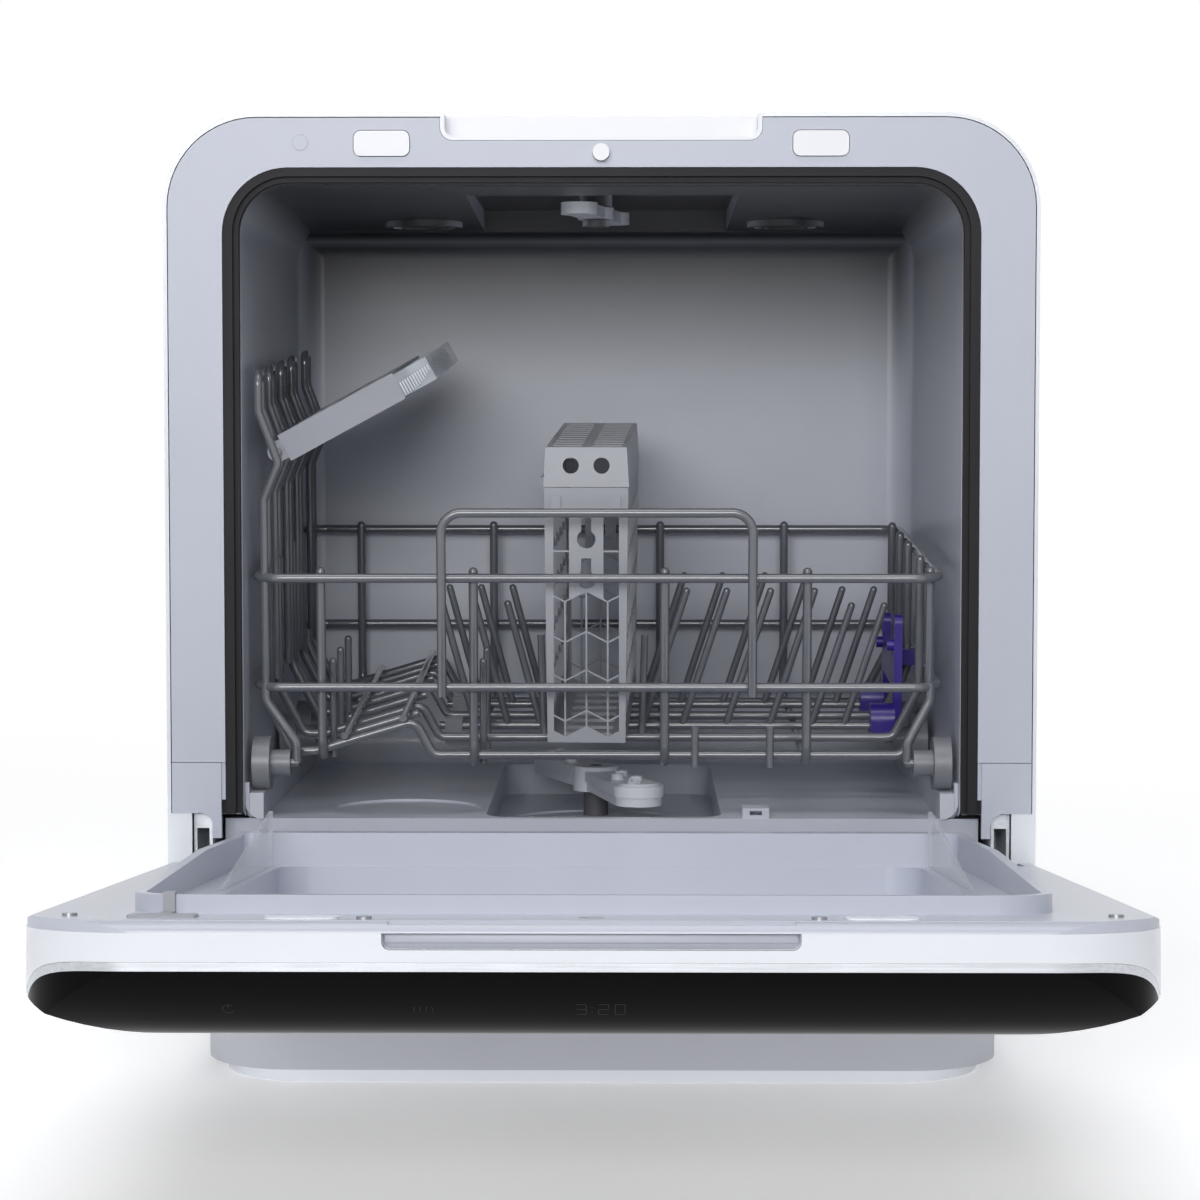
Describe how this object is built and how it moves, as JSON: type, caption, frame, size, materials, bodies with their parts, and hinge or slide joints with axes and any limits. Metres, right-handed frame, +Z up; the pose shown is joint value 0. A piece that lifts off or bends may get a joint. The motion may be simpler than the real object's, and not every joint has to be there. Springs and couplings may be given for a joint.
{
  "type": "countertop dishwasher",
  "caption": "Compact front-opening dishwasher with a drop-down domed glass door, wheeled wire basket with folding tines, cutlery box, cup shelf and two spray arms.",
  "frame": {"origin": "centre of the underside of the plinth, on the worktop", "axes": "+X to the right seen from the front, +Y from the door to the back wall, +Z up"},
  "size_m": [0.42, 0.796, 0.468],
  "materials": {
    "black_plastic": "matte",
    "board": "satin",
    "clear": "clear",
    "glass_black": "gloss",
    "grey": "matte",
    "painted": "satin",
    "pale": "satin",
    "rubber": "matte",
    "steel": "brushed",
    "violet": "gloss",
    "white": "satin",
    "wire": "coated wire",
    "zinc": "zinc plated"
  },
  "bodies": {
    "cabinet": {"outer_casing": "painted", "rear_cover": "painted", "base_pan": "painted", "base_plinth": "white", "rubber_feet": "rubber", "kick_plate": "white", "front_frame": "pale", "hinge_covers": "pale", "finger_recess": "white", "frame_plug": "pale", "door_seal": "rubber", "tub": "steel", "basket_rails": "pale", "tub_clip": "pale", "ceiling_vents": "pale", "upper_spray_hub": "pale", "feed_pipe": "pale", "sump": "grey", "wash_pump": "grey", "drain_pump": "black_plastic", "water_tank": "pale", "drying_fan": "grey", "inlet_valve": "white", "drain_outlet": "grey", "mains_gland": "black_plastic", "hinge_brackets": "zinc", "hinge_pins": "zinc", "hinge_springs": "zinc"},
    "filter": {"filter_plate": "pale"},
    "left_pad": {"push_pad_left": "white"},
    "right_pad": {"push_pad_right": "white"},
    "plunger": {"door_plunger": "white"},
    "door": {"door_frame": "white", "door_trim": "zinc", "door_glass": "glass_black", "door_liner": "pale", "splash_fins": "clear", "door_pads": "white", "vent_strip": "grey", "door_screws": "zinc", "control_board": "board", "hinge_arms": "zinc"},
    "basket": {"basket_frame": "wire", "cup_ramp": "wire", "wheel_struts": "wire", "basket_handle": "wire", "cup_rack": "wire", "tine_clips": "grey", "tine_lock": "violet"},
    "front_tine_row": {"front_tines": "wire"},
    "rear_tine_row": {"rear_tines": "wire"},
    "front_wheel_pair": {"front_wheels": "grey"},
    "middle_wheel_pair": {"middle_wheels": "grey"},
    "rear_wheel_pair": {"rear_wheels": "grey"},
    "cutlery": {"cutlery_box": "grey"},
    "lid": {"cutlery_lid": "grey"},
    "shelf": {"cup_shelf": "pale", "cup_comb": "clear"},
    "lower_rotor": {"lower_spray_arm": "pale"},
    "upper_rotor": {"upper_spray_arm": "pale"}
  },
  "joints": [
    {"name": "door_hinge", "type": "hinge", "parent": "cabinet", "child": "door", "pos_m": [0, -0.21, 0.0965], "axis": [-1, 0, 0], "range_deg": [0, 85]},
    {"name": "basket_slide", "type": "slide", "parent": "cabinet", "child": "basket", "axis": [0, 1, 0], "range_m": [-0.18, 0]},
    {"name": "front_wheel_spin", "type": "hinge", "parent": "basket", "child": "front_wheel_pair", "pos_m": [0, -0.1657, 0.1529], "axis": [1, 0, 0], "range_deg": [-10, 800]},
    {"name": "middle_wheel_spin", "type": "hinge", "parent": "basket", "child": "middle_wheel_pair", "pos_m": [0, -0.04565, 0.1529], "axis": [1, 0, 0], "range_deg": [-10, 800]},
    {"name": "rear_wheel_spin", "type": "hinge", "parent": "basket", "child": "rear_wheel_pair", "pos_m": [0, 0.03029, 0.1529], "axis": [1, 0, 0], "range_deg": [-10, 800]},
    {"name": "front_tine_fold", "type": "hinge", "parent": "basket", "child": "front_tine_row", "pos_m": [-0.002, -0.08318, 0.16337], "axis": [-1, 0, 0], "range_deg": [0, 78]},
    {"name": "rear_tine_fold", "type": "hinge", "parent": "basket", "child": "rear_tine_row", "pos_m": [-0.002, -0.01484, 0.16815], "axis": [-1, 0, 0], "range_deg": [0, 78]},
    {"name": "cutlery_lift", "type": "slide", "parent": "basket", "child": "cutlery", "axis": [0, -0.0698, 0.9976], "range_m": [0, 0.06]},
    {"name": "lid_hinge", "type": "hinge", "parent": "cutlery", "child": "lid", "pos_m": [-0.02859, -0.06859, 0.29486], "axis": [-0.0305, -0.9971, -0.0697], "range_deg": [0, 105]},
    {"name": "shelf_hinge", "type": "hinge", "parent": "basket", "child": "shelf", "pos_m": [-0.1585, -0.07627, 0.31261], "axis": [0, -0.9976, -0.0698], "range_deg": [-25, 18]},
    {"name": "lower_arm_spin", "type": "hinge", "parent": "cabinet", "child": "lower_rotor", "pos_m": [-0.004, -0.06, 0.133], "axis": [0, 0, 1], "continuous": true},
    {"name": "upper_arm_spin", "type": "hinge", "parent": "cabinet", "child": "upper_rotor", "pos_m": [-0.004, -0.06, 0.429], "axis": [0, 0, 1], "continuous": true},
    {"name": "left_pad_push", "type": "slide", "parent": "cabinet", "child": "left_pad", "axis": [0, 1, 0], "range_m": [0, 0.001], "stiffness_N_per_m": 400, "springref_m": -0.003},
    {"name": "right_pad_push", "type": "slide", "parent": "cabinet", "child": "right_pad", "axis": [0, 1, 0], "range_m": [0, 0.001], "stiffness_N_per_m": 400, "springref_m": -0.003},
    {"name": "plunger_push", "type": "slide", "parent": "cabinet", "child": "plunger", "axis": [0, 1, 0], "range_m": [0, 0.004], "stiffness_N_per_m": 300, "springref_m": -0.003},
    {"name": "filter_twist", "type": "hinge", "parent": "cabinet", "child": "filter", "pos_m": [-0.004, -0.06, 0.11], "axis": [0, 0, 1], "range_deg": [0, 60]}
  ],
  "couplings": [
    {"joint": "front_wheel_spin", "follows": "basket_slide", "rad_per_m": -76.923},
    {"joint": "middle_wheel_spin", "follows": "basket_slide", "rad_per_m": -76.923},
    {"joint": "rear_wheel_spin", "follows": "basket_slide", "rad_per_m": -76.923},
    {"joint": "rear_tine_fold", "follows": "front_tine_fold", "ratio": 1}
  ]
}
